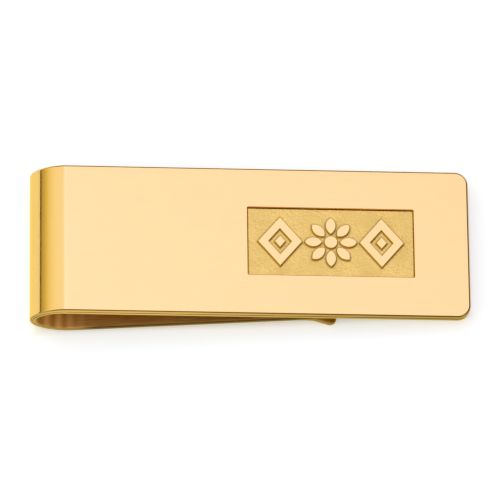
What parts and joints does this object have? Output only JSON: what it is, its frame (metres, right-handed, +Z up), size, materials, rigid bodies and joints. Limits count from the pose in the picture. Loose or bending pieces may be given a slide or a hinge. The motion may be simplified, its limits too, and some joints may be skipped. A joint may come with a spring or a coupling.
{
  "type": "money clip",
  "caption": "Folded spring-strip money clip with a polished front, a textured inlay panel holding raised motifs, and a sprung back leg ending in a flared lip.",
  "frame": {"origin": "Middle of the clip's box at table level: the clip lies on the back of its fold and on the tip of its lip, front face up.", "axes": "+Z up from the table; +X along the clip from the fold towards the free end; +Y across the strip. The front face leans 4.70 degrees down towards +X."},
  "size_m": [0.0532, 0.019, 0.0067],
  "materials": {
    "polished_gold": "mirror-polished yellow gold plate on spring brass",
    "satin_gold": "stippled satin yellow gold"
  },
  "bodies": {
    "leg": {"spring_leg": "polished_gold", "fold": "polished_gold"},
    "front": {"face_plate": "polished_gold", "backing_strip": "polished_gold", "inlay_panel": "satin_gold", "motif_left": "polished_gold", "motif_centre": "polished_gold", "motif_right": "polished_gold"}
  },
  "joints": [
    {"name": "clip_open", "type": "hinge", "parent": "leg", "child": "front", "pos_m": [-0.02485, 0, 0.00339], "axis": [0, -1, 0], "range_deg": [0, 8], "stiffness_Nm_per_rad": 3, "springref_deg": -2.86, "deforming": ["fold"]}
  ]
}
